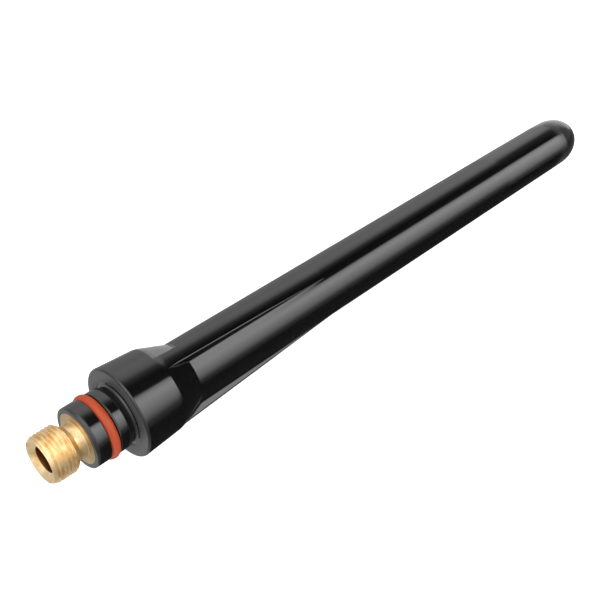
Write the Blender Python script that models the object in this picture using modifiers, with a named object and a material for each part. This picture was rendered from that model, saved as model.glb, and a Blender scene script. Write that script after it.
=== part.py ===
"""Long back cap of a gas-shielded arc welding torch, for the full-length electrode.

The cap is a black moulded tube, blind at its domed end, with a tapered collar and three
tapered fins for the fingers. A brass stem moulded into its neck screws into the torch, and
a rubber ring in the neck's groove keeps the shielding gas in.

The axis is world X. The origin is the centre of the collar's front face, which seats on the
torch. The stem points to -X and the dome to +X. Lengths are in metres.
"""

import math

import bmesh
import bpy

# Stem, in front of the neck
THREAD_RADIUS = 0.0047625  # 3/8 inch thread, its major diameter
STEM_LENGTH = 0.0078
STEM_CHAMFER_RADIAL = 0.0005
STEM_CHAMFER_LENGTH = 0.0009
STEM_RIM_WIDTH = 0.0002
RELIEF_LENGTH = 0.00175
RELIEF_DEPTH = 0.00133
STEM_BORE_RADIUS = 0.00262
STEM_BORE_LENGTH = 0.0079
COUNTERSINK_LENGTH = 0.00095

# Neck, from the seat face forward
NECK_LENGTH = 0.00875
NECK_RADIUS = 0.0061
NECK_EDGE_ROUND = 0.00025
NECK_RIM_WIDTH = 0.001  # plastic left round the stem's flange
ROOT_LENGTH = 0.0013
ROOT_DEPTH = 0.0005
ROOT_RECESS_DEPTH = 0.0005
ROOT_RECESS_GAP = 0.0003

# Seal
RING_OUTER_RADIUS = 0.0065
RING_SECTION = 0.0024
RING_CENTRE_FROM_SEAT = 0.0047

# Collar and shoulder, from the seat face back
COLLAR_RADIUS = 0.00912
COLLAR_TAPER = 0.0735  # radius lost for each unit of length
COLLAR_LENGTH = 0.00875
COLLAR_EDGE_ROUND = 0.00045
SHOULDER_LENGTH = 0.0057
SHOULDER_ROUND = 0.008

# Tube
TUBE_RADIUS = 0.00631
DOME_RADIUS = 0.00540
DOME_LENGTH = 0.0074
DOME_START_FROM_SEAT = 0.1271
BORE_RADIUS = 0.0033
DOME_WALL = 0.0023

# Fins, one value for each of the three
FIN_ANGLES = (25.0, 137.0, 261.0)  # degrees from +Z towards -Y
FIN_DROPS = (0.0004, 0.0, 0.0002)  # from the collar's rear corner down to the crest's start
FIN_LENGTHS = (0.037, 0.0458, 0.0415)  # from that corner to where the crest meets the tube
FIN_CREST_WIDTH = 0.0003
FIN_WIDTH = 0.0008
FIN_FOOT_FLARE = 0.0004
FIN_FOOT_HEIGHT = 0.0004
FIN_SINK = 0.0001  # how far the foot goes under the tube's surface
FIN_EMBED = 0.0005  # how far the front end is buried in the collar
FIN_RUN_OUT = 0.004  # how far the rear end runs on under the tube's surface

# Stem, inside the neck
FLANGE_THICKNESS = 0.0012
NECK_WALL = 0.0005  # plastic between the groove's floor and the stem's passage
STEM_WALL = 0.0007
ANCHOR_FROM_SEAT = 0.001
ANCHOR_LENGTH = 0.005
ANCHOR_WALL = 0.0007  # plastic between the root's floor and the anchor's pocket
ANCHOR_TEETH = 12
ANCHOR_TOOTH_DEPTH = 0.0005
TAIL_LENGTH = 0.0008  # shank left behind the anchor

# Clearance between pieces that touch on the real cap
SEAT_GAP = 0.0003

# Facets
TURN_STEPS = 48
ARC_STEPS = 4
DOME_STEPS = 10
BORE_END_STEPS = 6
RING_STEPS = 14
SMOOTH_ANGLE = math.radians(30.0)
MERGE_DISTANCE = 0.00001

# Places and sizes that follow
NECK_FACE_X = -NECK_LENGTH
STEM_NOSE_X = NECK_FACE_X - STEM_LENGTH
RIM_OUTER_RADIUS = THREAD_RADIUS - STEM_CHAMFER_RADIAL
RIM_INNER_RADIUS = RIM_OUTER_RADIUS - STEM_RIM_WIDTH
RELIEF_RADIUS = THREAD_RADIUS - RELIEF_DEPTH
ROOT_RADIUS = NECK_RADIUS - ROOT_DEPTH
RECESS_RADIUS = NECK_RADIUS + ROOT_RECESS_GAP
RING_CENTRE_RADIUS = RING_OUTER_RADIUS - RING_SECTION / 2
GROOVE_FLOOR_RADIUS = RING_OUTER_RADIUS - RING_SECTION - SEAT_GAP
GROOVE_HALF_WIDTH = RING_SECTION / 2 + SEAT_GAP
RING_X = -RING_CENTRE_FROM_SEAT
COLLAR_REAR_RADIUS = COLLAR_RADIUS - COLLAR_TAPER * COLLAR_LENGTH
SHOULDER_END_X = COLLAR_LENGTH + SHOULDER_LENGTH
TUBE_TAPER = (TUBE_RADIUS - DOME_RADIUS) / (DOME_START_FROM_SEAT - SHOULDER_END_X)
FLANGE_RADIUS = NECK_RADIUS - NECK_RIM_WIDTH
FLANGE_BACK_X = NECK_FACE_X + FLANGE_THICKNESS
PASSAGE_RADIUS = GROOVE_FLOOR_RADIUS - NECK_WALL
SHANK_RADIUS = PASSAGE_RADIUS - SEAT_GAP
SHANK_BORE_RADIUS = SHANK_RADIUS - STEM_WALL
ANCHOR_RADIUS = ROOT_RADIUS - ANCHOR_WALL - SEAT_GAP
ANCHOR_END_X = ANCHOR_FROM_SEAT + ANCHOR_LENGTH
STEM_END_X = ANCHOR_END_X + TAIL_LENGTH
BORE_END_RADIUS = DOME_RADIUS - DOME_WALL


def clear_scene():
    for obj in list(bpy.data.objects):
        bpy.data.objects.remove(obj, do_unlink=True)


def new_collection(name):
    collection = bpy.data.collections.new(name)
    bpy.context.scene.collection.children.link(collection)
    return collection


def new_material(name, colour, roughness, metallic):
    material = bpy.data.materials.new(name)
    material.use_nodes = True
    shader = material.node_tree.nodes["Principled BSDF"]
    shader.inputs["Base Color"].default_value = (*colour, 1.0)
    shader.inputs["Roughness"].default_value = roughness
    shader.inputs["Metallic"].default_value = metallic
    return material


def new_object(name, mesh, collection, material=None):
    obj = bpy.data.objects.new(name, mesh)
    collection.objects.link(obj)
    if material:
        mesh.materials.append(material)
    return obj


def as_cutter(obj):
    obj.hide_render = True
    obj.display_type = "WIRE"
    return obj


def half_dome(start_x, length, radius, steps):
    """Points (x, r) on a quarter of an ellipse, from its tip on the axis to its widest place."""
    points = []
    for step in range(steps + 1):
        angle = math.pi / 2 * step / steps
        points.append((start_x + length * math.cos(angle), radius * math.sin(angle)))
    return points


def rounded_corner(before, corner, after, radius):
    """The arc of this radius that touches both sides of a corner of the outline."""
    to_before = (before[0] - corner[0], before[1] - corner[1])
    to_after = (after[0] - corner[0], after[1] - corner[1])
    length_before = math.hypot(*to_before)
    length_after = math.hypot(*to_after)
    unit_before = (to_before[0] / length_before, to_before[1] / length_before)
    unit_after = (to_after[0] / length_after, to_after[1] / length_after)
    cosine = unit_before[0] * unit_after[0] + unit_before[1] * unit_after[1]
    half_angle = math.acos(cosine) / 2
    reach = min(radius / math.tan(half_angle), 0.45 * length_before, 0.45 * length_after)
    fitted_radius = reach * math.tan(half_angle)
    bisector = (unit_before[0] + unit_after[0], unit_before[1] + unit_after[1])
    scale = fitted_radius / math.sin(half_angle) / math.hypot(*bisector)
    centre = (corner[0] + bisector[0] * scale, corner[1] + bisector[1] * scale)
    start = (corner[0] + unit_before[0] * reach, corner[1] + unit_before[1] * reach)
    from_centre = (start[0] - centre[0], start[1] - centre[1])
    sweep = math.pi - 2 * half_angle
    turn = unit_before[0] * unit_after[1] - unit_before[1] * unit_after[0]
    sweep = math.copysign(sweep, -turn)
    points = []
    for step in range(ARC_STEPS + 1):
        angle = sweep * step / ARC_STEPS
        x = from_centre[0] * math.cos(angle) - from_centre[1] * math.sin(angle)
        r = from_centre[0] * math.sin(angle) + from_centre[1] * math.cos(angle)
        points.append((centre[0] + x, centre[1] + r))
    return points


def outline(corners):
    """Turns corners (x, r) or (x, r, round) into outline points."""
    points = []
    for index, corner in enumerate(corners):
        if len(corner) == 2:
            points.append(corner)
        else:
            before = corners[index - 1]
            after = corners[index + 1]
            points.extend(rounded_corner(before, corner, after, corner[2]))
    return points


def turned(name, points, collection, material=None):
    """A solid turned about X from an outline that runs to -X and ends on the axis.

    The outline stands half a facet off +Z, so that a facet, and no edge, faces the table.
    """
    mesh = bpy.data.meshes.new(name)
    offset = math.pi / TURN_STEPS
    vertices = [(x, -r * math.sin(offset), r * math.cos(offset)) for x, r in points]
    edges = [(index, index + 1) for index in range(len(points) - 1)]
    mesh.from_pydata(vertices, edges, [])
    obj = new_object(name, mesh, collection, material)
    screw = obj.modifiers.new("Turn", "SCREW")
    screw.axis = "X"
    screw.steps = TURN_STEPS
    screw.render_steps = TURN_STEPS
    screw.use_smooth_shade = True
    screw.use_merge_vertices = True
    screw.merge_threshold = MERGE_DISTANCE
    return obj


def add_boolean(obj, other, operation):
    boolean = obj.modifiers.new(other.name, "BOOLEAN")
    boolean.operation = operation
    boolean.object = other


def apply_modifiers(obj):
    """Replaces the object's mesh by its evaluated one, smooth with sharp corners."""
    graph = bpy.context.evaluated_depsgraph_get()
    mesh = bpy.data.meshes.new_from_object(obj.evaluated_get(graph))
    obj.modifiers.clear()
    obj.data = mesh
    mesh.shade_smooth()
    mesh.set_sharp_from_angle(angle=SMOOTH_ANGLE)


def tube_radius(x):
    return TUBE_RADIUS - TUBE_TAPER * (x - SHOULDER_END_X)


def fin_section(root, crest, floor):
    """Corners (y, z) of a fin's section: a flared foot, drafted sides and a narrow crest."""
    foot = root - FIN_FOOT_HEIGHT - FIN_SINK
    half_section = [
        (FIN_WIDTH / 2 + FIN_FOOT_FLARE, floor),
        (FIN_WIDTH / 2 + FIN_FOOT_FLARE, foot),
        (FIN_WIDTH / 2, root),
        (FIN_CREST_WIDTH / 2, crest),
    ]
    return half_section + [(-y, z) for y, z in reversed(half_section)]


def make_fin(name, angle, drop, length, collection):
    """A blade that stands on the tube and runs out towards the dome.

    It is a loft between two sections. The front one is buried in the collar. The rear one
    lies under the tube's surface, so that the crest meets the tube ahead of it.
    """
    meeting_x = COLLAR_LENGTH + length
    crest_start = COLLAR_REAR_RADIUS - drop
    crest_fall = (crest_start - tube_radius(meeting_x)) / length
    floor = (BORE_RADIUS + TUBE_RADIUS) / 2
    front_x = COLLAR_LENGTH - FIN_EMBED
    front_root = tube_radius(front_x) + FIN_FOOT_HEIGHT
    front_crest = crest_start + crest_fall * FIN_EMBED
    rear_x = meeting_x + FIN_RUN_OUT
    rear_crest = tube_radius(meeting_x) - crest_fall * FIN_RUN_OUT
    rear_root = rear_crest - FIN_SINK
    sections = {
        front_x: fin_section(front_root, front_crest, floor),
        rear_x: fin_section(rear_root, rear_crest, floor),
    }
    bm = bmesh.new()
    edges = []
    for x, section in sections.items():
        ring = [bm.verts.new((x, y, z)) for y, z in section]
        bm.faces.new(ring)
        edges.extend(bm.edges.get(pair) for pair in zip(ring, ring[1:] + ring[:1]))
    bmesh.ops.bridge_loops(bm, edges=edges)
    bmesh.ops.recalc_face_normals(bm, faces=bm.faces)
    mesh = bpy.data.meshes.new(name)
    bm.to_mesh(mesh)
    bm.free()
    obj = new_object(name, mesh, collection)
    obj.rotation_euler.x = math.radians(angle)
    return as_cutter(obj)


def toothed_prism(name, tip_radius, start_x, end_x, collection):
    """A straight-knurled cylinder along X."""
    bm = bmesh.new()
    bmesh.ops.create_cone(
        bm,
        cap_ends=True,
        segments=2 * ANCHOR_TEETH,
        radius1=tip_radius,
        radius2=tip_radius,
        depth=end_x - start_x,
    )
    valley_scale = (tip_radius - ANCHOR_TOOTH_DEPTH) / tip_radius
    for vert in bm.verts:
        place = math.atan2(vert.co.y, vert.co.x) / (math.pi / ANCHOR_TEETH)
        if round(place) % 2:
            vert.co.x *= valley_scale
            vert.co.y *= valley_scale
    mesh = bpy.data.meshes.new(name)
    bm.to_mesh(mesh)
    bm.free()
    obj = new_object(name, mesh, collection)
    obj.location.x = (start_x + end_x) / 2
    obj.rotation_euler.y = math.pi / 2
    return as_cutter(obj)


def make_cap_body(parts, cutters):
    """The black moulding: dome, tube, fins, shoulder, collar and grooved neck."""
    groove_front_x = RING_X - GROOVE_HALF_WIDTH
    groove_back_x = RING_X + GROOVE_HALF_WIDTH
    corners = [
        (SHOULDER_END_X, TUBE_RADIUS),
        (COLLAR_LENGTH, COLLAR_REAR_RADIUS, SHOULDER_ROUND),
        (0.0, COLLAR_RADIUS, COLLAR_EDGE_ROUND),
        (0.0, RECESS_RADIUS),
        (ROOT_RECESS_DEPTH, RECESS_RADIUS),
        (ROOT_RECESS_DEPTH, ROOT_RADIUS),
        (-ROOT_LENGTH, ROOT_RADIUS),
        (-ROOT_LENGTH, NECK_RADIUS),
        (groove_back_x, NECK_RADIUS),
        (groove_back_x, GROOVE_FLOOR_RADIUS),
        (groove_front_x, GROOVE_FLOOR_RADIUS),
        (groove_front_x, NECK_RADIUS),
        (NECK_FACE_X, NECK_RADIUS, NECK_EDGE_ROUND),
        (NECK_FACE_X, 0.0),
    ]
    dome = half_dome(DOME_START_FROM_SEAT, DOME_LENGTH, DOME_RADIUS, DOME_STEPS)
    phenolic = new_material("black_phenolic", (0.012, 0.012, 0.012), 0.22, 0.0)
    body = turned("cap_body", dome + outline(corners), parts, phenolic)

    for number, sizes in enumerate(zip(FIN_ANGLES, FIN_DROPS, FIN_LENGTHS), start=1):
        fin = make_fin(f"fin_{number}", *sizes, cutters)
        add_boolean(body, fin, "UNION")

    bore_end_length = DOME_LENGTH - DOME_WALL
    bore_end = half_dome(DOME_START_FROM_SEAT, bore_end_length, BORE_END_RADIUS, BORE_END_STEPS)
    core_corners = [
        (STEM_END_X + SEAT_GAP, BORE_RADIUS),
        (STEM_END_X + SEAT_GAP, PASSAGE_RADIUS),
        (FLANGE_BACK_X + SEAT_GAP, PASSAGE_RADIUS),
        (FLANGE_BACK_X + SEAT_GAP, FLANGE_RADIUS + SEAT_GAP),
        (NECK_FACE_X - SEAT_GAP, FLANGE_RADIUS + SEAT_GAP),
        (NECK_FACE_X - SEAT_GAP, 0.0),
    ]
    core = as_cutter(turned("core_pin", bore_end + core_corners, cutters))
    add_boolean(body, core, "DIFFERENCE")
    pocket = toothed_prism(
        "anchor_pocket",
        ANCHOR_RADIUS + SEAT_GAP,
        ANCHOR_FROM_SEAT - SEAT_GAP,
        ANCHOR_END_X + SEAT_GAP,
        cutters,
    )
    add_boolean(body, pocket, "DIFFERENCE")
    apply_modifiers(body)


def make_threaded_insert(parts, cutters):
    """The brass stem: thread blank, relief, flange, shank and toothed anchor, bored through."""
    relief_front_x = NECK_FACE_X - RELIEF_LENGTH
    corners = [
        (STEM_END_X, 0.0),
        (STEM_END_X, SHANK_RADIUS),
        (FLANGE_BACK_X, SHANK_RADIUS),
        (FLANGE_BACK_X, FLANGE_RADIUS),
        (NECK_FACE_X, FLANGE_RADIUS),
        (NECK_FACE_X, RELIEF_RADIUS),
        (relief_front_x, RELIEF_RADIUS),
        (relief_front_x - RELIEF_DEPTH, THREAD_RADIUS),
        (STEM_NOSE_X + STEM_CHAMFER_LENGTH, THREAD_RADIUS),
        (STEM_NOSE_X, RIM_OUTER_RADIUS),
        (STEM_NOSE_X, 0.0),
    ]
    brass = new_material("turned_brass", (0.72, 0.48, 0.17), 0.3, 1.0)
    stem = turned("threaded_insert", outline(corners), parts, brass)
    anchor = toothed_prism("anchor", ANCHOR_RADIUS, ANCHOR_FROM_SEAT, ANCHOR_END_X, cutters)
    add_boolean(stem, anchor, "UNION")
    step_x = STEM_NOSE_X + STEM_BORE_LENGTH
    sink_start_x = STEM_NOSE_X + COUNTERSINK_LENGTH
    drill_corners = [
        (STEM_END_X + SEAT_GAP, 0.0),
        (STEM_END_X + SEAT_GAP, SHANK_BORE_RADIUS),
        (step_x, SHANK_BORE_RADIUS),
        (step_x, STEM_BORE_RADIUS),
        (sink_start_x, STEM_BORE_RADIUS),
        (STEM_NOSE_X, RIM_INNER_RADIUS),
        (STEM_NOSE_X - SEAT_GAP, RIM_INNER_RADIUS),
        (STEM_NOSE_X - SEAT_GAP, 0.0),
    ]
    drill = as_cutter(turned("stepped_drill", outline(drill_corners), cutters))
    add_boolean(stem, drill, "DIFFERENCE")
    apply_modifiers(stem)


def make_o_ring(parts):
    """The rubber ring in the neck's groove."""
    bpy.ops.mesh.primitive_torus_add(
        major_radius=RING_CENTRE_RADIUS,
        minor_radius=RING_SECTION / 2,
        major_segments=TURN_STEPS,
        minor_segments=RING_STEPS,
        location=(RING_X, 0.0, 0.0),
        rotation=(0.0, math.pi / 2, 0.0),
    )
    ring = bpy.context.object
    ring.name = "o_ring"
    ring.data.name = "o_ring"
    for collection in list(ring.users_collection):
        collection.objects.unlink(ring)
    parts.objects.link(ring)
    ring.data.materials.append(new_material("red_rubber", (0.55, 0.09, 0.03), 0.6, 0.0))
    ring.data.shade_smooth()


def main():
    clear_scene()
    parts = new_collection("torch_back_cap")
    cutters = new_collection("cutters")
    make_cap_body(parts, cutters)
    make_threaded_insert(parts, cutters)
    make_o_ring(parts)


main()
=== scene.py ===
"""Long back cap of a gas-shielded arc welding torch, lying on a white table.

The cap's axis is X. The collar's seat face is at x = 0, the brass stem points to -X and the
domed end to +X. Lengths in the tables below are in millimetres, and meshes are in metres.
Angles round the axis are in degrees from +Z towards -Y.
"""

import math

import bmesh
import bpy
import numpy as np
from mathutils import Matrix, Vector

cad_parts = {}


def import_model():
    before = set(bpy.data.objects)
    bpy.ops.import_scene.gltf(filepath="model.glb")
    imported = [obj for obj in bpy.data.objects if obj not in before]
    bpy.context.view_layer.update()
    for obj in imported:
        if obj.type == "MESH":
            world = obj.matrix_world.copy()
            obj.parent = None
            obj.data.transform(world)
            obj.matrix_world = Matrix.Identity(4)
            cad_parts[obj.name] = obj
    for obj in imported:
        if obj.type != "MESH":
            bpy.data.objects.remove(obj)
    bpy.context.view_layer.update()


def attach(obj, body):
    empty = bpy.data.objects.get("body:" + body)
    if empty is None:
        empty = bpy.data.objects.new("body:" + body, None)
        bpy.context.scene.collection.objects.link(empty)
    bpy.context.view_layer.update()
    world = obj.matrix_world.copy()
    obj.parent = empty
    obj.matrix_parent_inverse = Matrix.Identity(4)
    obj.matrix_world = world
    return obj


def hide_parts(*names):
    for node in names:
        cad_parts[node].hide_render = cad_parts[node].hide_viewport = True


MM = 0.001
MERGE_DISTANCE = 1e-7  # metres, closes a turned shape's seam and poles
CLOSE = 0.1  # millimetres
TOUCHING = 0.01  # millimetres, for finding faces by their place
SHARP_DEGREES = 32.0
SMOOTH_DEGREES = 60.0

# Moulding
COLLAR_RADIUS = 9.12
COLLAR_LENGTH = 8.75
COLLAR_REAR_RADIUS = 8.477
COLLAR_EDGE_ROUND = 0.45
SHOULDER_END = 14.45
SHOULDER_ROUND = 4.5
SHOULDER_FILLET = 1.0
TUBE_RADIUS = 6.31
DOME_RADIUS = 5.40
DOME_CENTRE = 127.1
DOME_LENGTH = 7.4
BORE_DOME_CENTRE = 128.5
BORE_DOME_RADIUS = 3.1
RECESS_RADIUS = 6.4
RECESS_DEPTH = 0.12
ROOT_RADIUS = 5.6
ROOT_LENGTH = 1.3
ROOT_FILLET = 0.5  # where the root runs into the seat
ROOT_ROUND = 0.35  # where the root meets the neck's rear
NECK_RADIUS = 6.1
NECK_FACE = -8.75
GROOVE_CENTRE = -4.7
GROOVE_HALF_WIDTH = 1.06
GROOVE_FLOOR_RADIUS = 3.8
FACE_EDGE_ROUND = 0.25
STEM_GAP = 0.3  # between the stem's rear end and the step in the bore
BORE_START_RADIUS = 3.3
RUN_OUT_BACK = 60.0  # the ribs run out between these two, where the outline has short edges
RUN_OUT_FRONT = 42.0

# Ribs
RIB_ANGLES = (14.2, 134.2, 254.2)
RIB_START_RADIUS = 8.22  # the crest's radius above the collar's rear corner
RIB_END = 49.5  # where the crest meets the tube
RIB_HALF_WIDTH = 1.65
RIB_EDGE_ROUND = 0.3
RIB_DRAFT = math.radians(3.0)
RIB_FILLET = 0.45
RIB_FOOT_SHARE = 0.15  # height of the flat at the rib's foot, as a share of the rib's
RIB_LEAST = 0.02  # a lower rib is left out
BEND_WEIGHT = 0.6  # millimetres of outline that a bend of one radian counts for
FINE_STEPS = 3200  # steps along a rib's outline before it is thinned
RIB_ZONE = 32.0  # degrees each side of a rib's middle that hold its own points
ZONE_STEPS = 72
REST_STEPS = 20
BORE_SIDE_RADIUS = 5.0  # outline points nearer the axis belong to the bore
BORE_EDGE = 8.0  # longest edges of the outline
COLLAR_EDGE = 1.2
SHOULDER_EDGE = 0.45
TUBE_EDGE = 0.8

# Stem
FLANGE_RADIUS = 5.1
FLANGE_BACK = -7.55
SHANK_RADIUS = 3.0
SHANK_BORE = 2.3
ANCHOR_START = 1.0
ANCHOR_END = 6.0
ANCHOR_RADIUS = 4.6
STEM_END = 6.8
NOSE = -16.55
THREAD_RADIUS = 4.7625
THREAD_PITCH = 25.4 / 32
THREAD_DEPTH = 0.46
THREAD_FLAT = 1 / 16  # half the crest's flat, as a share of the pitch
THREAD_EDGE = 0.045  # longest edge of the outline along the thread
PLAIN_EDGE = 2.0
RELIEF_RADIUS = 3.43
RELIEF_FRONT = -10.5
RIM_OUTER = 4.26
RIM_INNER = 4.06
CHAMFER_END = -15.65
BORE_RADIUS = 2.62
BORE_END = -8.65
SINK_END = -15.6
STEM_STEPS = 160
TOOTH_COUNT = 12
TOOTH_DEPTH = 0.5
TIGHT = 0.02  # room between the stem and the moulding round it

# Seal ring
RING_OUTER_RADIUS = 6.5
RING_HALF_WIDTH = 1.04
RING_HALF_HEIGHT = 1.28
RING_SQUARENESS = 0.9  # 1 gives an ellipse, less a fuller section
RING_SECTION_STEPS = 40
RING_STEPS = 160


# ---------------------------------------------------------------- shapes


def dome_points(centre, length, radius, start, end, steps):
    """Points (x, r) of half an ellipse; angles in degrees from +X."""
    angles = np.radians(np.linspace(start, end, steps + 1))
    return [(centre + length * math.cos(a), radius * math.sin(a)) for a in angles]


def rounded(before, corner, after, radius, steps):
    """The arc of this radius that touches both sides of a corner."""
    corner = Vector(corner)
    to_before = (Vector(before) - corner).normalized()
    to_after = (Vector(after) - corner).normalized()
    half = to_before.angle(to_after) / 2
    centre = corner + (to_before + to_after).normalized() * radius / math.sin(half)
    first = corner + to_before * radius / math.tan(half) - centre
    last = corner + to_after * radius / math.tan(half) - centre
    sweep = first.angle_signed(last)
    points = []
    for step in range(steps + 1):
        turn = Matrix.Rotation(-sweep * step / steps, 2)
        points.append(tuple(centre + turn @ first))
    return points


def profile(corners, longest):
    """Outline points from corners (x, r) or (x, r, radius, steps).

    `longest` gives the longest edge allowed between two points.
    """
    points = []
    for index, corner in enumerate(corners):
        if len(corner) == 2:
            points.append(corner)
        else:
            before = corners[index - 1][:2]
            after = corners[index + 1][:2]
            points.extend(rounded(before, corner[:2], after, corner[2], corner[3]))
    split = [points[0]]
    for start, end in zip(points, points[1:]):
        pieces = max(1, math.ceil(math.dist(start, end) / longest(start, end)))
        for step in range(1, pieces + 1):
            share = step / pieces
            split.append(tuple(np.array(start) * (1 - share) + np.array(end) * share))
    return split


def spun(points, steps, closed=False):
    """A bmesh turned about X from outline points, starting on +Z and going towards -Y."""
    bm = bmesh.new()
    verts = [bm.verts.new((x * MM, 0.0, r * MM)) for x, r in points]
    edges = [bm.edges.new(pair) for pair in zip(verts, verts[1:])]
    if closed:
        edges.append(bm.edges.new((verts[-1], verts[0])))
    bmesh.ops.spin(
        bm,
        geom=verts + edges,
        cent=(0.0, 0.0, 0.0),
        axis=(1.0, 0.0, 0.0),
        dvec=(0.0, 0.0, 0.0),
        angle=2 * math.pi,
        steps=steps,
        use_merge=True,
        use_duplicate=False,
    )
    bmesh.ops.remove_doubles(bm, verts=bm.verts, dist=MERGE_DISTANCE)
    bmesh.ops.recalc_face_normals(bm, faces=bm.faces)
    return bm


def finished(bm, name, materials, sharp_degrees):
    """Turns a bmesh into a piece that stands at the origin, smooth with sharp corners."""
    mesh = bpy.data.meshes.new(name)
    bm.to_mesh(mesh)
    bm.free()
    mesh.shade_smooth()
    mesh.set_sharp_from_angle(angle=math.radians(sharp_degrees))
    for material in materials:
        mesh.materials.append(material)
    obj = bpy.data.objects.new(name, mesh)
    bpy.context.scene.collection.objects.link(obj)
    return obj


def polar(vert):
    """(x, r, angle) of a vertex in millimetres and radians, the angle from +Z towards -Y."""
    x, y, z = vert.co / MM
    return x, math.hypot(y, z), math.atan2(-y, z) % (2 * math.pi)


def place(vert, x, radius, angle):
    vert.co = (x * MM, -radius * math.sin(angle) * MM, radius * math.cos(angle) * MM)


# ---------------------------------------------------------------- moulding


def tube_radius(x):
    return TUBE_RADIUS + (DOME_RADIUS - TUBE_RADIUS) * (x - SHOULDER_END) / (
        DOME_CENTRE - SHOULDER_END
    )


def crest_radius(x):
    fall = (RIB_START_RADIUS - tube_radius(RIB_END)) / (RIB_END - COLLAR_LENGTH)
    return RIB_START_RADIUS - fall * (x - COLLAR_LENGTH)


def reach(centre, radius, directions, sign):
    """Distance from the axis to a circle along these directions, to its far or near side."""
    along = directions @ centre
    across = directions[:, 0] * centre[1] - directions[:, 1] * centre[0]
    return along + sign * np.sqrt(np.maximum(radius**2 - across**2, 0.0))


def rib_outline(height, base, angles):
    """Radius at these angles from a rib's middle.

    The rib's top is the tube's own curve, lifted. A round edge, a drafted side and a fillet
    lead down from it to a flat that runs out into the tube.
    """
    edge = min(RIB_EDGE_ROUND, 0.4 * height)
    fillet = min(RIB_FILLET, 0.6 * height)
    outward = np.array((math.cos(RIB_DRAFT), math.sin(RIB_DRAFT)))
    upward = np.array((-outward[1], outward[0]))
    corner = np.array((RIB_HALF_WIDTH, height + math.sqrt(base**2 - RIB_HALF_WIDTH**2)))
    side_offset = corner @ outward
    edge_offset = side_offset - edge - height * outward[1]
    edge_rise = math.sqrt((base - edge) ** 2 - edge_offset**2)
    edge_centre = outward * edge_offset + upward * edge_rise + (0.0, height)
    foot = base * (1 + RIB_FOOT_SHARE * height / base)
    foot_angle = math.asin((side_offset - foot * outward[1]) / foot)
    flat_end = foot_angle + math.acos(base / foot)
    flat_normal = np.array((math.sin(flat_end), math.cos(flat_end)))
    fillet_centre = np.linalg.solve(
        np.array((outward, flat_normal)), (side_offset + fillet, base + fillet)
    )
    top_end = edge_centre + edge * (edge_centre - (0.0, height)) / (base - edge)
    ends = [
        top_end,
        edge_centre + edge * outward,
        fillet_centre - fillet * outward,
        fillet_centre - fillet * flat_normal,
        flat_normal,
    ]
    side = np.abs(angles)
    directions = np.stack([np.sin(side), np.cos(side)], axis=1)
    shapes = [
        reach(np.array((0.0, height)), base, directions, 1),
        reach(edge_centre, edge, directions, 1),
        side_offset / (directions @ outward),
        reach(fillet_centre, fillet, directions, -1),
        base / (directions @ flat_normal),
    ]
    return np.select([side < math.atan2(*end) for end in ends], shapes, base)


def rib_ring(height, base):
    """ZONE_STEPS + 1 places (angle, radius) along a rib's outline, closer where it bends."""
    angles = np.radians(np.linspace(-RIB_ZONE, RIB_ZONE, FINE_STEPS + 1))
    radii = rib_outline(max(height, RIB_LEAST), base, angles)
    y = radii * np.sin(angles)
    z = radii * np.cos(angles)
    heading = np.unwrap(np.arctan2(np.diff(z), np.diff(y)))
    steps = np.hypot(np.diff(y), np.diff(z))
    steps[1:] += BEND_WEIGHT * np.abs(np.diff(heading))
    run = np.concatenate([[0.0], np.cumsum(steps)])
    even = np.linspace(0.0, run[-1], ZONE_STEPS + 1)
    if height < RIB_LEAST:
        radii = np.full_like(angles, base)
    return np.interp(even, run, angles), np.interp(even, run, radii)


def split_length(start, end):
    """Longest edge of the moulding's outline: short where the ribs stand and run out."""
    if min(start[1], end[1]) < BORE_SIDE_RADIUS or start[0] < CLOSE:
        return BORE_EDGE
    middle = (start[0] + end[0]) / 2
    if middle < COLLAR_LENGTH:
        return COLLAR_EDGE
    return SHOULDER_EDGE if middle < SHOULDER_END + 1 else TUBE_EDGE


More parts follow.
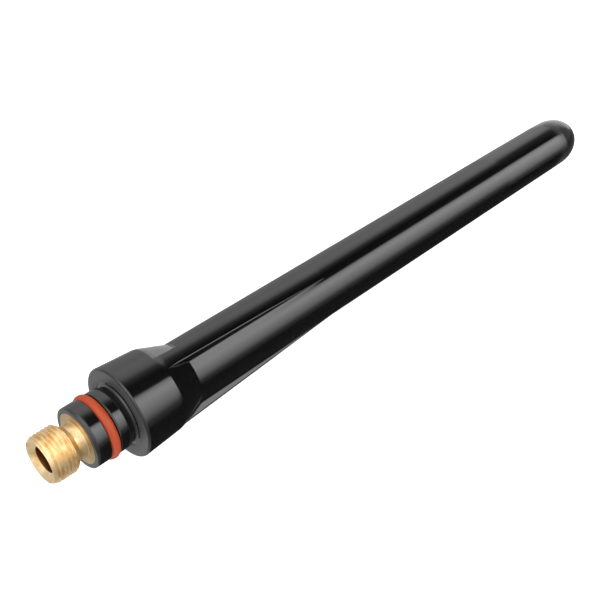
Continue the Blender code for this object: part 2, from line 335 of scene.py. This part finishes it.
def moulding_outline():
    groove_back = GROOVE_CENTRE + GROOVE_HALF_WIDTH
    groove_front = GROOVE_CENTRE - GROOVE_HALF_WIDTH
    points = dome_points(DOME_CENTRE, DOME_LENGTH, DOME_RADIUS, 0.0, 90.0, 24)
    stretches = ((DOME_CENTRE, RUN_OUT_BACK, 15), (RUN_OUT_BACK, RUN_OUT_FRONT, 45))
    for start, end, edges in stretches:
        for x in np.linspace(start, end, edges + 1)[1:]:
            points.append((x, tube_radius(x)))
    corners = [
        points[-1],
        (SHOULDER_END, TUBE_RADIUS, SHOULDER_FILLET, 6),
        (COLLAR_LENGTH, COLLAR_REAR_RADIUS, SHOULDER_ROUND, 12),
        (0.0, COLLAR_RADIUS, COLLAR_EDGE_ROUND, 8),
        (0.0, RECESS_RADIUS, 0.06, 2),
        (RECESS_DEPTH, RECESS_RADIUS),
        (RECESS_DEPTH, ROOT_RADIUS, ROOT_FILLET, 8),
        (-ROOT_LENGTH, ROOT_RADIUS, ROOT_ROUND, 6),
        (-ROOT_LENGTH, NECK_RADIUS, 0.1, 3),
        (groove_back, NECK_RADIUS, 0.08, 3),
        (groove_back, GROOVE_FLOOR_RADIUS),
        (groove_front, GROOVE_FLOOR_RADIUS),
        (groove_front, NECK_RADIUS, 0.08, 3),
        (NECK_FACE, NECK_RADIUS, FACE_EDGE_ROUND, 6),
        (NECK_FACE, FLANGE_RADIUS + TIGHT),
        (FLANGE_BACK + TIGHT, FLANGE_RADIUS + TIGHT),
        (FLANGE_BACK + TIGHT, SHANK_RADIUS + TIGHT),
        (ANCHOR_START - TIGHT, SHANK_RADIUS + TIGHT),
        (ANCHOR_START - TIGHT, ANCHOR_RADIUS + TIGHT),
        (ANCHOR_END + TIGHT, ANCHOR_RADIUS + TIGHT),
        (ANCHOR_END + TIGHT, SHANK_RADIUS + TIGHT),
        (STEM_END + STEM_GAP, SHANK_RADIUS + TIGHT),
        (STEM_END + STEM_GAP, BORE_START_RADIUS),
        (BORE_DOME_CENTRE, BORE_DOME_RADIUS),
    ]
    points = points[:-1] + profile(corners, split_length)
    return points[:-1] + dome_points(
        BORE_DOME_CENTRE, BORE_DOME_RADIUS, BORE_DOME_RADIUS, 90.0, 0.0, 8
    )


def make_moulding():
    """The black moulding, turned and then drawn out into its three ribs."""
    sector = ZONE_STEPS + REST_STEPS
    steps = len(RIB_ANGLES) * sector
    bm = spun(moulding_outline(), steps)
    rings = {}
    for vert in bm.verts:
        x, base, angle = polar(vert)
        if base < TOUCHING:
            continue
        number = round(angle / (2 * math.pi) * steps) % steps
        rib, step = divmod(number, sector)
        middle = math.radians(RIB_ANGLES[rib])
        if step > ZONE_STEPS:
            share = (step - ZONE_STEPS) / REST_STEPS
            gap = 360.0 / len(RIB_ANGLES) - 2 * RIB_ZONE
            place(vert, x, base, middle + math.radians(RIB_ZONE + gap * share))
            continue
        key = (round(x, 4), round(base, 4))
        if key not in rings:
            outside = x > COLLAR_LENGTH - 1 and base > BORE_DOME_RADIUS + 1
            height = crest_radius(x) - base if outside else 0.0
            rings[key] = rib_ring(height, max(base, 2 * RIB_HALF_WIDTH))
        angles, radii = rings[key]
        radius = radii[step] if base > 2 * RIB_HALF_WIDTH else base
        place(vert, x, radius, middle + angles[step])
    for face in bm.faces:
        middle = face.calc_center_median() / MM
        radius = math.hypot(middle.y, middle.z)
        on_seat = abs(middle.x) < TOUCHING and radius < COLLAR_RADIUS - COLLAR_EDGE_ROUND + 0.05
        on_neck_face = abs(middle.x - NECK_FACE) < TOUCHING and radius < NECK_RADIUS
        face.material_index = 1 if on_seat or on_neck_face else 0
    bmesh.ops.recalc_face_normals(bm, faces=bm.faces)
    return bm


# ---------------------------------------------------------------- stem and ring


def thread_radius(x, angle, radius):
    """Radius of the cut thread. The screw is right-handed about X."""
    turn = -angle / (2 * math.pi)
    from_crest = abs((x / THREAD_PITCH - turn + 0.5) % 1.0 - 0.5)
    share = min(max((from_crest - THREAD_FLAT) / (0.5 - 2 * THREAD_FLAT), 0.0), 1.0)
    return min(radius, THREAD_RADIUS - THREAD_DEPTH * share)


def stem_outline():
    corners = [
        (STEM_END, SHANK_BORE),
        (STEM_END, SHANK_RADIUS),
        (ANCHOR_END, SHANK_RADIUS),
        (ANCHOR_END, ANCHOR_RADIUS),
        (ANCHOR_START, ANCHOR_RADIUS),
        (ANCHOR_START, SHANK_RADIUS),
        (FLANGE_BACK, SHANK_RADIUS),
        (FLANGE_BACK, FLANGE_RADIUS),
        (NECK_FACE, FLANGE_RADIUS),
        (NECK_FACE, RELIEF_RADIUS, 0.15, 3),
        (RELIEF_FRONT, RELIEF_RADIUS, 0.4, 4),
        (RELIEF_FRONT - (THREAD_RADIUS - RELIEF_RADIUS), THREAD_RADIUS),
        (CHAMFER_END, THREAD_RADIUS),
        (NOSE, RIM_OUTER, 0.05, 2),
        (NOSE, RIM_INNER, 0.05, 2),
        (SINK_END, BORE_RADIUS, 0.1, 2),
        (BORE_END, BORE_RADIUS),
        (BORE_END, SHANK_BORE),
    ]

    def longest(start, end):
        outside = min(start[1], end[1]) > RELIEF_RADIUS - 0.05
        on_thread = outside and max(start[0], end[0]) < RELIEF_FRONT + 0.3
        return THREAD_EDGE if on_thread else PLAIN_EDGE

    return profile(corners, longest)


def make_stem():
    """The brass stem, turned, with a single-start thread and a toothed anchor."""
    bm = spun(stem_outline(), STEM_STEPS, closed=True)
    for vert in bm.verts:
        x, radius, angle = polar(vert)
        if x < RELIEF_FRONT and radius > RELIEF_RADIUS + 0.02 and x > NOSE + TOUCHING:
            place(vert, x, thread_radius(x, angle, radius), angle)
        elif radius > ANCHOR_RADIUS - TOUCHING and x > 0.0:
            tooth = abs((angle / (2 * math.pi) * TOOTH_COUNT) % 1.0 - 0.5) * 2
            place(vert, x, ANCHOR_RADIUS - TOOTH_DEPTH * tooth, angle)
    for face in bm.faces:
        middle = face.calc_center_median() / MM
        radius = math.hypot(middle.y, middle.z)
        on_flange = abs(middle.x - NECK_FACE) < 0.02 and radius > RELIEF_RADIUS + 0.1
        # Faces inside the bore take the third brass, whose dark colours are painted shade.
        in_bore = radius < BORE_RADIUS + 0.05
        face.material_index = 1 if on_flange else 2 if in_bore else 0
    bmesh.ops.recalc_face_normals(bm, faces=bm.faces)
    return bm


def make_ring():
    """The seal ring: a round cord squeezed a little flat by its groove."""
    points = []
    for angle in np.radians(np.linspace(0.0, 360.0, RING_SECTION_STEPS + 1)[:-1]):
        out = math.copysign(abs(math.cos(angle)) ** RING_SQUARENESS, math.cos(angle))
        up = math.copysign(abs(math.sin(angle)) ** RING_SQUARENESS, math.sin(angle))
        x = GROOVE_CENTRE + RING_HALF_WIDTH * out
        points.append((x, RING_OUTER_RADIUS - RING_HALF_HEIGHT + RING_HALF_HEIGHT * up))
    return spun(points, RING_STEPS, closed=True)


# ---------------------------------------------------------------- materials


def colour(hex_code):
    """sRGB hex to linear RGBA."""
    channels = [int(hex_code[i : i + 2], 16) / 255 for i in (1, 3, 5)]
    linear = [c / 12.92 if c <= 0.04045 else ((c + 0.055) / 1.055) ** 2.4 for c in channels]
    return (*linear, 1.0)


def add_node(tree, kind, settings=None, values=None, links=None):
    """Adds a node, sets its properties and sockets, and links sockets to sources."""
    node = tree.nodes.new(kind)
    for name, value in (settings or {}).items():
        setattr(node, name, value)
    for socket, value in (values or {}).items():
        node.inputs[socket].default_value = value
    for socket, source in (links or {}).items():
        tree.links.new(source, node.inputs[socket])
    return node


def new_material(name):
    material = bpy.data.materials.new(name)
    material.use_nodes = True
    return material, material.node_tree, material.node_tree.nodes["Principled BSDF"]


def stretched(tree, lengths_mm):
    """Object coordinates scaled so that one unit is this long along X, Y and Z."""
    place_on = add_node(tree, "ShaderNodeTexCoord")
    scale = tuple(1 / (length * MM) for length in lengths_mm)
    mapping = add_node(
        tree,
        "ShaderNodeMapping",
        values={"Scale": scale},
        links={"Vector": place_on.outputs["Object"]},
    )
    return mapping.outputs["Vector"]


def moulded_phenolic():
    """Black phenolic, compression moulded and polished.

    The eye sees clear bands of light on near-black, a slow ripple in them where the mould
    was polished by hand, smudges that dull the gloss, and fine lines along the cap from
    drawing it out of the mould. The lines are 0.35 mm wide, coarser than real ones, so that
    they show.
    """
    material, tree, shader = new_material("moulded_phenolic")
    speckle = add_node(
        tree,
        "ShaderNodeTexNoise",
        values={"Scale": 1.0, "Detail": 3.0},
        links={"Vector": stretched(tree, (0.5, 0.5, 0.5))},
    )
    tint = add_node(
        tree,
        "ShaderNodeMix",
        settings={"data_type": "RGBA"},
        values={"A": colour("#060607"), "B": colour("#0b0b0b")},
        links={"Factor": speckle.outputs["Fac"]},
    )
    lines = add_node(
        tree,
        "ShaderNodeTexNoise",
        values={"Scale": 1.0, "Detail": 2.0},
        links={"Vector": stretched(tree, (30.0, 0.35, 0.35))},
    )
    smudges = add_node(
        tree,
        "ShaderNodeTexNoise",
        values={"Scale": 1.0, "Detail": 3.0},
        links={"Vector": stretched(tree, (9.0, 4.0, 4.0))},
    )
    gloss = add_node(
        tree,
        "ShaderNodeMapRange",
        values={"From Min": 0.3, "From Max": 0.7, "To Min": 0.06, "To Max": 0.13},
        links={"Value": smudges.outputs["Fac"]},
    )
    ripple = add_node(
        tree,
        "ShaderNodeTexNoise",
        values={"Scale": 1.0, "Detail": 1.0},
        links={"Vector": stretched(tree, (14.0, 5.0, 5.0))},
    )
    slow_bump = add_node(
        tree,
        "ShaderNodeBump",
        values={"Strength": 1.0, "Distance": 0.015 * MM},
        links={"Height": ripple.outputs["Fac"]},
    )
    fine_bump = add_node(
        tree,
        "ShaderNodeBump",
        values={"Strength": 1.0, "Distance": 0.0012 * MM},
        links={"Height": lines.outputs["Fac"], "Normal": slow_bump.outputs["Normal"]},
    )
    shader.inputs["IOR"].default_value = 1.6
    tree.links.new(tint.outputs["Result"], shader.inputs["Base Color"])
    tree.links.new(gloss.outputs["Result"], shader.inputs["Roughness"])
    tree.links.new(fine_bump.outputs["Normal"], shader.inputs["Normal"])
    return material


def faced_phenolic():
    """Black phenolic faced off after moulding.

    The cut opens the filler, so the face looks dull grey, with a fine grain.
    """
    material, tree, shader = new_material("faced_phenolic")
    grain = add_node(
        tree,
        "ShaderNodeTexNoise",
        values={"Scale": 1.0, "Detail": 4.0},
        links={"Vector": stretched(tree, (0.3, 0.3, 0.3))},
    )
    tint = add_node(
        tree,
        "ShaderNodeMix",
        settings={"data_type": "RGBA"},
        values={"A": colour("#2e2e2f"), "B": colour("#3c3c3d")},
        links={"Factor": grain.outputs["Fac"]},
    )
    bump = add_node(
        tree,
        "ShaderNodeBump",
        values={"Strength": 1.0, "Distance": 0.01 * MM},
        links={"Height": grain.outputs["Fac"]},
    )
    shader.inputs["IOR"].default_value = 1.6
    shader.inputs["Roughness"].default_value = 0.45
    tree.links.new(tint.outputs["Result"], shader.inputs["Base Color"])
    tree.links.new(bump.outputs["Normal"], shader.inputs["Normal"])
    return material


def brass(name, light_hex, dark_hex, roughness, ring_depth_mm):
    """Free-cutting brass, turned on a lathe.

    The tool leaves fine rings round the axis, and handling leaves faint brown stains. The
    darker pair of colours that the bore gets is painted shade.
    """
    material, tree, shader = new_material(name)
    stains = add_node(
        tree,
        "ShaderNodeTexNoise",
        values={"Scale": 1.0, "Detail": 4.0},
        links={"Vector": stretched(tree, (1.6, 1.6, 1.6))},
    )
    share = add_node(
        tree,
        "ShaderNodeMapRange",
        values={"From Min": 0.35, "From Max": 0.75},
        links={"Value": stains.outputs["Fac"]},
    )
    tint = add_node(
        tree,
        "ShaderNodeMix",
        settings={"data_type": "RGBA"},
        values={"A": colour(light_hex), "B": colour(dark_hex)},
        links={"Factor": share.outputs["Result"]},
    )
    rings = add_node(
        tree,
        "ShaderNodeTexNoise",
        values={"Scale": 1.0, "Detail": 2.0},
        links={"Vector": stretched(tree, (0.09, 6.0, 6.0))},
    )
    bump = add_node(
        tree,
        "ShaderNodeBump",
        values={"Strength": 1.0, "Distance": ring_depth_mm * MM},
        links={"Height": rings.outputs["Fac"]},
    )
    shader.inputs["Metallic"].default_value = 1.0
    gloss = add_node(
        tree,
        "ShaderNodeMapRange",
        values={
            "From Min": 0.3,
            "From Max": 0.7,
            "To Min": roughness - 0.04,
            "To Max": roughness + 0.08,
        },
        links={"Value": stains.outputs["Fac"]},
    )
    tree.links.new(tint.outputs["Result"], shader.inputs["Base Color"])
    tree.links.new(gloss.outputs["Result"], shader.inputs["Roughness"])
    tree.links.new(bump.outputs["Normal"], shader.inputs["Normal"])
    return material


def silicone_rubber():
    """Red silicone rubber, moulded, with the dull bloom of a dry seal."""
    material, tree, shader = new_material("silicone_rubber")
    mottle = add_node(
        tree,
        "ShaderNodeTexNoise",
        values={"Scale": 1.0, "Detail": 4.0},
        links={"Vector": stretched(tree, (0.7, 0.7, 0.7))},
    )
    tint = add_node(
        tree,
        "ShaderNodeMix",
        settings={"data_type": "RGBA"},
        values={"A": colour("#98330f"), "B": colour("#a2401c")},
        links={"Factor": mottle.outputs["Fac"]},
    )
    bump = add_node(
        tree,
        "ShaderNodeBump",
        values={"Strength": 1.0, "Distance": 0.01 * MM},
        links={"Height": mottle.outputs["Fac"]},
    )
    shader.inputs["IOR"].default_value = 1.41
    shader.inputs["Roughness"].default_value = 0.5
    tree.links.new(tint.outputs["Result"], shader.inputs["Base Color"])
    tree.links.new(bump.outputs["Normal"], shader.inputs["Normal"])
    return material


# ---------------------------------------------------------------- studio

TABLE_SIZE = 8.0
TABLE_GLOW = 0.9
ROOM_GLOW = 0.03
BACKDROP_GLOW = 1.2
SHEET_DISTANCE = 1.2  # metres from the axis
SHEETS_MEET = 0.2  # x in metres, where the front sheet meets the other three
SHEET_STEP = 3  # degrees
CARD_DISTANCE = 0.03  # metres from the axis


def make_table():
    """A matt white table that touches the collar and the dome.

    Its own glow keeps it near white. The cap doesn't reflect it.
    """
    tilt = math.atan((COLLAR_RADIUS - DOME_RADIUS) / DOME_CENTRE)
    bm = bmesh.new()
    bmesh.ops.create_grid(bm, x_segments=1, y_segments=1, size=TABLE_SIZE)
    bmesh.ops.rotate(bm, verts=bm.verts, matrix=Matrix.Rotation(-tilt, 3, "Y"))
    drop = COLLAR_RADIUS / math.cos(tilt) * MM
    bmesh.ops.translate(bm, verts=bm.verts, vec=(0.0, 0.0, -drop))
    material, _, shader = new_material("white_table")
    shader.inputs["Base Color"].default_value = colour("#f4f4f4")
    shader.inputs["Roughness"].default_value = 0.9
    shader.inputs["Emission Color"].default_value = colour("#ffffff")
    shader.inputs["Emission Strength"].default_value = TABLE_GLOW
    table = finished(bm, "table", [material], SHARP_DEGREES)
    table.visible_glossy = False
    table.visible_shadow = False


def grey_ramp(tree, attribute, stops):
    """A ramp of brightness over a vertex attribute that runs from 0 to 1."""
    place_on = add_node(tree, "ShaderNodeAttribute", settings={"attribute_name": attribute})
    ramp = add_node(tree, "ShaderNodeValToRGB", links={"Fac": place_on.outputs["Fac"]})
    elements = ramp.color_ramp.elements
    elements.remove(elements[1])
    for index, (position, level) in enumerate(stops):
        element = elements[0] if index == 0 else elements.new(position)
        element.position = position
        element.color = (level, level, level, 1.0)
    return ramp.outputs["Color"]


def curved_softbox(name, rims, brightness, lengthwise_stops=None):
    """A glowing sheet bent round the cap's axis, between two rims (x, distance) in metres.

    `brightness` lists (angle round the axis, radiance). `lengthwise_stops` lists (share of
    the way from the first rim to the second, factor up to 1).
    """
    first = brightness[0][0]
    span = brightness[-1][0] - first
    bm = bmesh.new()
    start = math.radians(first)
    ends = [bm.verts.new((x, -r * math.sin(start), r * math.cos(start))) for x, r in rims]
    edge = bm.edges.new(ends)
    bmesh.ops.spin(
        bm,
        geom=[*ends, edge],
        cent=(0.0, 0.0, 0.0),
        axis=(1.0, 0.0, 0.0),
        dvec=(0.0, 0.0, 0.0),
        angle=math.radians(span),
        steps=math.ceil(span / SHEET_STEP),
        use_duplicate=False,
    )
    round_axis = bm.verts.layers.float.new("round_axis")
    lengthwise = bm.verts.layers.float.new("lengthwise")
    for vert in bm.verts:
        x, radius, angle = polar(vert)
        turned = (math.degrees(angle) - first + 0.5) % 360 - 0.5
        vert[round_axis] = turned / span
        vert[lengthwise] = math.dist((x * MM, radius * MM), rims[0]) / math.dist(*rims)
    material, tree, shader = new_material(name)
    tree.nodes.remove(shader)
    peak = max(level for _, level in brightness)
    around = [((angle - first) / span, level / peak) for angle, level in brightness]
    level = add_node(
        tree,
        "ShaderNodeMath",
        settings={"operation": "MULTIPLY"},
        links={0: grey_ramp(tree, "round_axis", around)},
        values={1: peak},
    )
    if lengthwise_stops:
        ends_at = grey_ramp(tree, "lengthwise", lengthwise_stops)
        level = add_node(
            tree,
            "ShaderNodeMath",
            settings={"operation": "MULTIPLY"},
            links={0: level.outputs["Value"], 1: ends_at},
        )
    glow = add_node(tree, "ShaderNodeEmission", links={"Strength": level.outputs["Value"]})
    tree.links.new(glow.outputs[0], tree.nodes["Material Output"].inputs["Surface"])
    sheet = finished(bm, name, [material], SHARP_DEGREES)
    sheet.visible_camera = False
    sheet.visible_shadow = False


def square_softbox(name, place_at, turn_degrees, size, radiance):
    """A square light that faces down at a turn of 0, to -X at 90 and to +X at -90.

    Its size is in metres, and its radiance is the same as a sheet's.
    """
    lamp = bpy.data.lights.new(name, "AREA")
    lamp.size = size
    lamp.energy = radiance * math.pi * size**2
    obj = bpy.data.objects.new(name, lamp)
    turn = Matrix.Rotation(math.radians(turn_degrees), 4, "Y")
    obj.matrix_world = Matrix.Translation(place_at) @ turn
    obj.visible_camera = False
    bpy.context.scene.collection.objects.link(obj)


# Each light is a few levels, (angle round the axis, radiance), where it starts, is brightest
# and fades. They follow the brightness of the bands in the photograph: it was sampled across
# the tube, the shoulder and the dome and divided by the phenolic's reflectance, and the levels
# were then rounded, thinned out and set by comparing renders with it.
NEAR_LIGHT = ((27, 0.0), (33, 2.6), (42, 3.6), (50, 3.7), (80, 1.9), (97, 0.4), (115, 0.0))
TOP_LIGHT = ((-62, 0.95), (-45, 1.3), (-32, 1.3), (-24, 1.1), (-12, 0.3), (0, 0.05), (12, 0.0))
BACK_LIGHT = ((-155, 0.6), (-104, 0.42), (-62, 0.95))
FRONT_LIGHT = ((-150, 0.8), (-20, 1.1), (30, 1.6), (90, 1.3), (130, 0.7), (209, 0.8))
STEM_LIGHT = (
    (-150, 0.7),
    (-60, 0.7),
    (-30, 1.2),
    (-10, 2.0),
    (10, 2.3),
    (35, 1.9),
    (60, 1.3),
    (85, 0.7),
    (110, 0.4),
    (150, 0.5),
    (209, 0.7),
)
SHOULDER_LIGHT = ((-130, 0.4), (-105, 0.4), (-58, 1.15), (-18, 2.5))
END_LIGHT = (
    (-150, 0.6),
    (-104, 0.42),
    *TOP_LIGHT[:-2],
    (-6, 0.16),
    (10, 0.05),
    *NEAR_LIGHT,
    (209, 0.1),
)


def dome_light(back, top, gap, near):
    """Levels of one card round the dome, with a dim gap between its top and its near side."""
    return (
        (-150, 0.3),
        (-128, 0.4),
        (-108, 0.9 * back),
        (-85, back),
        (-30, top),
        (10, gap),
        (29, gap),
        (46, near),
        (68, near),
        (91, near / 3),
        (115, 0.15),
        (209, 0.3),
    )


def make_sheets():
    """The large sheets give the long bands, and the front one lights the stem and the seat."""
    top_fade = ((0.0, 1.0), (0.75, 1.0), (1.0, 0.0))
    for name, start, end, light, fade in (
        ("near_softbox", SHEETS_MEET, 1.52, NEAR_LIGHT, None),
        ("top_softbox", SHEETS_MEET, 2.0, TOP_LIGHT, top_fade),
        ("back_softbox", SHEETS_MEET, 5.0, BACK_LIGHT, None),
        ("front_softbox", -2.4, SHEETS_MEET, FRONT_LIGHT, None),
    ):
        rims = ((start, SHEET_DISTANCE), (end, SHEET_DISTANCE))
        curved_softbox(name, rims, light, fade)


def make_cards():
    """Small cards that light the brass, the shoulder's slope and the dome by themselves."""
    near = CARD_DISTANCE
    slope_fade = ((0.0, 0.6), (0.4, 0.85), (0.8, 1.0))
    for name, first_rim, second_rim, light, fade in (
        ("stem_card", (-0.06, near), (-0.0008, near), STEM_LIGHT, None),
        ("shoulder_card", (0.0151, 0.0067), (0.0151, 0.0165), SHOULDER_LIGHT, slope_fade),
        ("end_card", (0.13, near), (0.1535, near), END_LIGHT, None),
        ("dome_card", (0.1535, near), (0.1554, near), dome_light(1.1, 0.85, 0.75, 2.4), None),
        ("tip_card", (0.1554, near), (0.1583, near), dome_light(1.4, 1.5, 0.72, 1.1), None),
        ("pole_card", (0.1583, near), (0.64, near), dome_light(1.6, 1.8, 0.45, 0.4), None),
    ):
        curved_softbox(name, (first_rim, second_rim), light, fade)


def make_world():
    """A dim room with a white backdrop that only the camera sees."""
    world = bpy.data.worlds.new("studio")
    world.use_nodes = True
    tree = world.node_tree
    tree.nodes.clear()
    white = colour("#ffffff")
    room = add_node(
        tree, "ShaderNodeBackground", values={"Color": white, "Strength": ROOM_GLOW}
    )
    backdrop = add_node(
        tree, "ShaderNodeBackground", values={"Color": white, "Strength": BACKDROP_GLOW}
    )
    path = add_node(tree, "ShaderNodeLightPath")
    mix = add_node(tree, "ShaderNodeMixShader", links={0: path.outputs["Is Camera Ray"]})
    tree.links.new(room.outputs[0], mix.inputs[1])
    tree.links.new(backdrop.outputs[0], mix.inputs[2])
    add_node(tree, "ShaderNodeOutputWorld", links={"Surface": mix.outputs[0]})
    bpy.context.scene.world = world


# The camera's place in metres, and its directions to the right and up.
CAMERA_PLACE = (-0.07587, -0.12558, 0.14894)
CAMERA_RIGHT = (0.7196, -0.6943, 0.0)
CAMERA_UP = (0.4513, 0.4673, 0.7604)
SENSOR_WIDTH = 36.0
LENS = 69.0  # 1150 pixels in a picture 600 wide


def make_camera():
    camera = bpy.data.objects.new("camera", bpy.data.cameras.new("camera"))
    bpy.context.scene.collection.objects.link(camera)
    camera.data.sensor_width = SENSOR_WIDTH
    camera.data.lens = LENS
    camera.data.clip_start = 0.01
    camera.data.clip_end = 50.0
    right = Vector(CAMERA_RIGHT)
    up = Vector(CAMERA_UP)
    turn = Matrix((right, up, right.cross(up))).transposed().to_4x4()
    camera.matrix_world = Matrix.Translation(CAMERA_PLACE) @ turn
    bpy.context.scene.camera = camera


def main():
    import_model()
    phenolic = [moulded_phenolic(), faced_phenolic()]
    brasses = [
        brass("turned_brass", "#f4e0b8", "#d8a962", 0.31, 0.004),
        brass("faced_brass", "#cbb48b", "#b2986e", 0.42, 0.004),
        # The bore's brass has dark brown colours as painted shade for the inside of the bore,
        # with a little more roughness and deeper tool rings.
        brass("bore_brass_painted_shade", "#8c6130", "#6b431a", 0.35, 0.01),
    ]
    pieces = [
        ("cap_moulding", make_moulding(), phenolic, SHARP_DEGREES, "cap_body"),
        ("brass_stem", make_stem(), brasses, SHARP_DEGREES, "threaded_insert"),
        ("seal_ring", make_ring(), [silicone_rubber()], SMOOTH_DEGREES, "o_ring"),
    ]
    for name, bm, materials, sharp_degrees, node in pieces:
        piece = finished(bm, name, materials, sharp_degrees)
        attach(piece, "root")
        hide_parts(node)
    make_table()
    make_sheets()
    make_cards()
    square_softbox("nose_softbox", (-2.4, 0.0, 0.0), -90.0, 2.2, 1.1)
    square_softbox("end_softbox", (2.0, 0.0, 0.0), 90.0, 0.22, 0.35)
    make_world()
    make_camera()
    bpy.context.scene.view_settings.view_transform = "Standard"


main()
